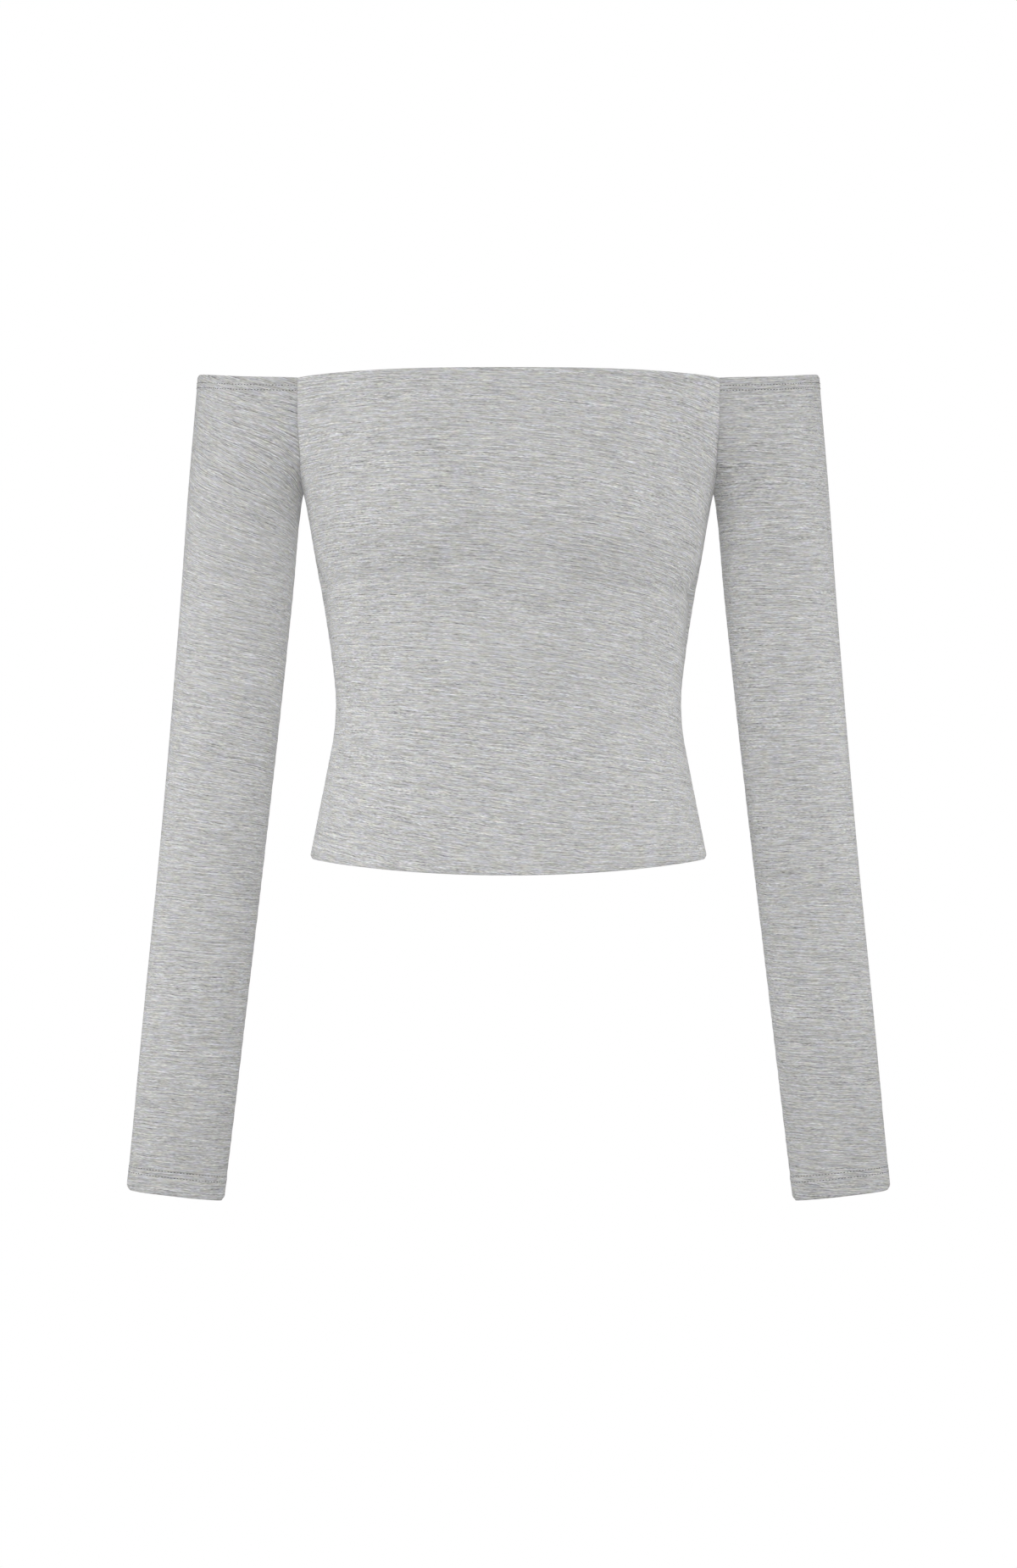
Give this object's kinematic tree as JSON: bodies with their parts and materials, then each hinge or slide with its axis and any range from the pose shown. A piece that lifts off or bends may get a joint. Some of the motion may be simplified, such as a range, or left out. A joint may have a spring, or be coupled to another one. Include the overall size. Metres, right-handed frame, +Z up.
{
  "type": "long-sleeve top",
  "caption": "Fitted off-the-shoulder cropped jersey top with long slim sleeves, straight neckline, hollow and filled out as if worn.",
  "frame": {"origin": "on the centre line of the body, 20 mm below the neckline edge and midway between the side seams, in the band that grips the wearer's chest", "axes": "+Z up along the body, the front faces -Y, the sleeve at -X is on the left as seen from the front"},
  "size_m": [0.5372, 0.2036, 0.5814],
  "materials": {
    "jersey": "matte heather grey stretch jersey"
  },
  "bodies": {
    "root": {"front": "jersey", "back": "jersey", "sleeve_left": "jersey", "sleeve_right": "jersey"}
  },
  "joints": []
}
